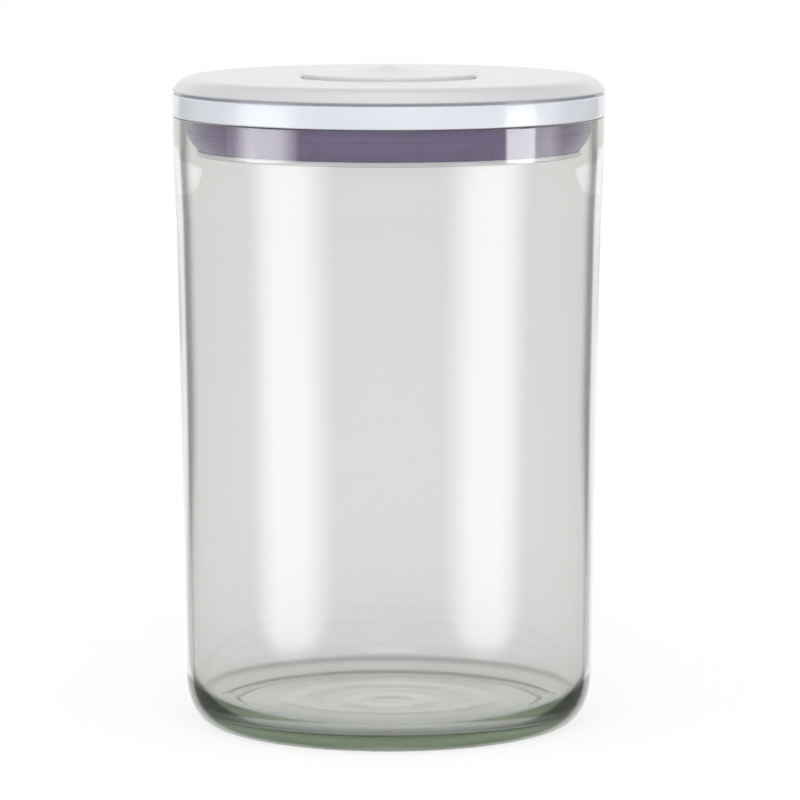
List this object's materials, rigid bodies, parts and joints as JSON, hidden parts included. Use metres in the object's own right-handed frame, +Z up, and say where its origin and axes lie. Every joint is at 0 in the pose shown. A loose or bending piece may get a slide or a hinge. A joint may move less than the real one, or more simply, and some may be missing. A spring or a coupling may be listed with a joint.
{
  "type": "storage canister",
  "caption": "Tall round glass storage jar with a press-to-seal domed lid, a flush push button and a soft gasket that swells against the bore.",
  "frame": {"origin": "centre of the jar's foot, on the surface that it stands on", "axes": "+Z up along the jar's axis, through the button; +X towards the first rocker"},
  "size_m": [0.112, 0.112, 0.1714],
  "materials": {
    "jar_glass": "clear, faint green in the thick base",
    "shell_white": "gloss, warm white",
    "band_white": "gloss, bluish white",
    "gasket_violet": "glossy silicone, violet grey",
    "inner_white": "satin",
    "rocker_plastic": "satin, glass-filled",
    "latch_plastic": "satin",
    "screw_steel": "plated",
    "pin_steel": "ground",
    "spring_steel": "drawn wire"
  },
  "bodies": {
    "jar": {"glass_jar": "jar_glass"},
    "lid": {"lid_frame": "band_white", "top_shell": "shell_white", "shell_screws": "screw_steel", "latch_cup": "inner_white", "cup_screws": "screw_steel", "barrel_washer": "screw_steel", "barrel_screw": "screw_steel", "rocker_pins": "pin_steel", "gasket": "gasket_violet", "return_spring": "spring_steel"},
    "button": {"button_cap": "shell_white", "plunger": "inner_white", "plunger_screws": "screw_steel", "follower_pins": "pin_steel"},
    "lift_plate": {"lift_plate": "inner_white"},
    "latch_barrel": {"latch_barrel": "latch_plastic"},
    "rocker_1": {"rocker_1": "rocker_plastic"},
    "rocker_2": {"rocker_2": "rocker_plastic"},
    "rocker_3": {"rocker_3": "rocker_plastic"},
    "rocker_4": {"rocker_4": "rocker_plastic"},
    "rocker_5": {"rocker_5": "rocker_plastic"},
    "rocker_6": {"rocker_6": "rocker_plastic"}
  },
  "joints": [
    {"name": "lid_lift", "type": "slide", "parent": "jar", "child": "lid", "axis": [0, 0, 1], "range_m": [0, 0.12]},
    {"name": "button_press", "type": "slide", "parent": "lid", "child": "button", "axis": [0, 0, 1], "range_m": [0, 0.007], "deforming": ["return_spring"]},
    {"name": "plate_drop", "type": "slide", "parent": "lid", "child": "lift_plate", "axis": [0, 0, -1], "range_m": [0, 0.002], "deforming": ["gasket"]},
    {"name": "barrel_turn", "type": "hinge", "parent": "lid", "child": "latch_barrel", "pos_m": [0, 0, 0.159], "axis": [0, 0, -1], "range_deg": [0, 45]},
    {"name": "rocker_1_tilt", "type": "hinge", "parent": "lid", "child": "rocker_1", "pos_m": [0.037, 0, 0.1615], "axis": [0, 1, 0], "range_deg": [0, 23.76]},
    {"name": "rocker_2_tilt", "type": "hinge", "parent": "lid", "child": "rocker_2", "pos_m": [0.0185, 0.03204, 0.1615], "axis": [-0.866, 0.5, 0], "range_deg": [0, 23.76]},
    {"name": "rocker_3_tilt", "type": "hinge", "parent": "lid", "child": "rocker_3", "pos_m": [-0.0185, 0.03204, 0.1615], "axis": [-0.866, -0.5, 0], "range_deg": [0, 23.76]},
    {"name": "rocker_4_tilt", "type": "hinge", "parent": "lid", "child": "rocker_4", "pos_m": [-0.037, 0, 0.1615], "axis": [0, -1, 0], "range_deg": [0, 23.76]},
    {"name": "rocker_5_tilt", "type": "hinge", "parent": "lid", "child": "rocker_5", "pos_m": [-0.0185, -0.03204, 0.1615], "axis": [0.866, -0.5, 0], "range_deg": [0, 23.76]},
    {"name": "rocker_6_tilt", "type": "hinge", "parent": "lid", "child": "rocker_6", "pos_m": [0.0185, -0.03204, 0.1615], "axis": [0.866, 0.5, 0], "range_deg": [0, 23.76]}
  ],
  "couplings": [
    {"joint": "plate_drop", "follows": "button_press", "ratio": 0.28571},
    {"joint": "barrel_turn", "follows": "button_press", "rad_per_m": 112.2},
    {"joint": "rocker_1_tilt", "follows": "button_press", "rad_per_m": 59.247},
    {"joint": "rocker_2_tilt", "follows": "button_press", "rad_per_m": 59.247},
    {"joint": "rocker_3_tilt", "follows": "button_press", "rad_per_m": 59.247},
    {"joint": "rocker_4_tilt", "follows": "button_press", "rad_per_m": 59.247},
    {"joint": "rocker_5_tilt", "follows": "button_press", "rad_per_m": 59.247},
    {"joint": "rocker_6_tilt", "follows": "button_press", "rad_per_m": 59.247}
  ]
}
